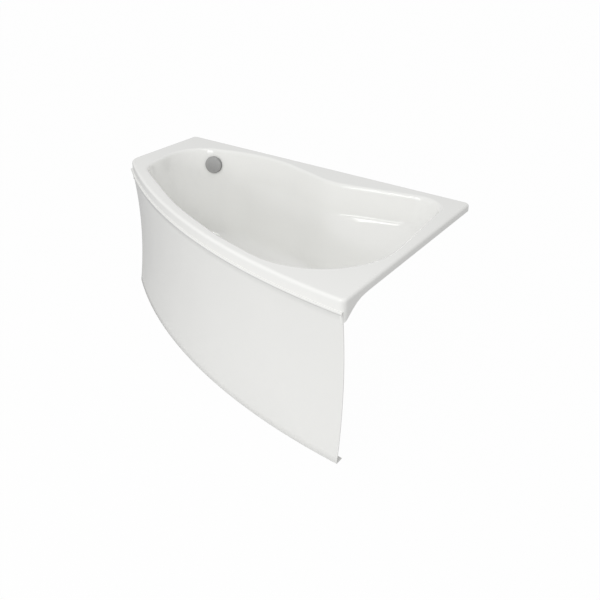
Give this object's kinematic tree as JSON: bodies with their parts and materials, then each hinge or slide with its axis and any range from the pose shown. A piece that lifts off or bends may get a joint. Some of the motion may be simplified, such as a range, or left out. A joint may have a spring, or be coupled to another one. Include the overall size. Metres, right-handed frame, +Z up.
{
  "type": "corner bathtub",
  "caption": "Asymmetric white corner bath with a bowed front panel, armrest ledges, turn-to-open waste with overflow, cross-bearers and levelling feet.",
  "frame": {"origin": "centre of the plan box, on the floor", "axes": "+X along the long wall towards the wide end, +Y towards the long wall, +Z up"},
  "size_m": [1.4, 0.9049, 0.6],
  "materials": {
    "acrylic": "moulded white acrylic, high gloss",
    "panel_acrylic": "white sheet acrylic, high gloss",
    "board": "raw chipboard",
    "batten": "sawn softwood strip",
    "zinc": "zinc-plated pressed steel",
    "black_plastic": "moulded black plastic",
    "white_plastic": "moulded white waste fitting",
    "cover_metal": "satin plated metal",
    "seal_rubber": "black rubber"
  },
  "bodies": {
    "bath": {"tub_shell": "acrylic", "front_panel": "panel_acrylic", "rim_batten": "batten", "panel_clips": "white_plastic", "clip_screws": "zinc", "bearer_foot_end": "zinc", "bearer_head_end": "zinc", "base_board": "board", "foot_rods": "zinc", "foot_nuts": "zinc", "bearer_screws": "zinc", "foot_pads": "black_plastic", "overflow_ring": "cover_metal", "overflow_gasket": "seal_rubber", "overflow_body": "white_plastic", "overflow_pipe": "white_plastic", "actuator_cable": "black_plastic", "waste_flange": "cover_metal", "waste_gasket": "seal_rubber", "waste_body": "white_plastic", "trap_washer": "seal_rubber", "trap_nut": "white_plastic", "trap_body": "white_plastic", "trap_cap": "white_plastic", "outlet_pipe": "white_plastic", "outlet_nut": "white_plastic"},
    "overflow_knob": {"overflow_cover": "cover_metal", "overflow_spindle": "zinc"},
    "plug_assembly": {"plug": "cover_metal", "plug_seal": "seal_rubber"},
    "rocker": {"lift_rocker": "zinc"}
  },
  "joints": [
    {"name": "knob_turn", "type": "hinge", "parent": "bath", "child": "overflow_knob", "pos_m": [-0.48829, 0.34538, 0.53], "axis": [0.354, -0.9221, 0.1564], "range_deg": [0, 100]},
    {"name": "plug_lift", "type": "slide", "parent": "bath", "child": "plug_assembly", "axis": [0, 0, 1], "range_m": [0, 0.012]},
    {"name": "rocker_tilt", "type": "hinge", "parent": "bath", "child": "rocker", "pos_m": [-0.39129, 0.15062, 0.132], "axis": [0.8886, 0.4586, 0], "range_deg": [0, 30]}
  ],
  "couplings": [
    {"joint": "plug_lift", "follows": "knob_turn", "m_per_rad": 0.0068755},
    {"joint": "rocker_tilt", "follows": "knob_turn", "ratio": 0.3}
  ]
}
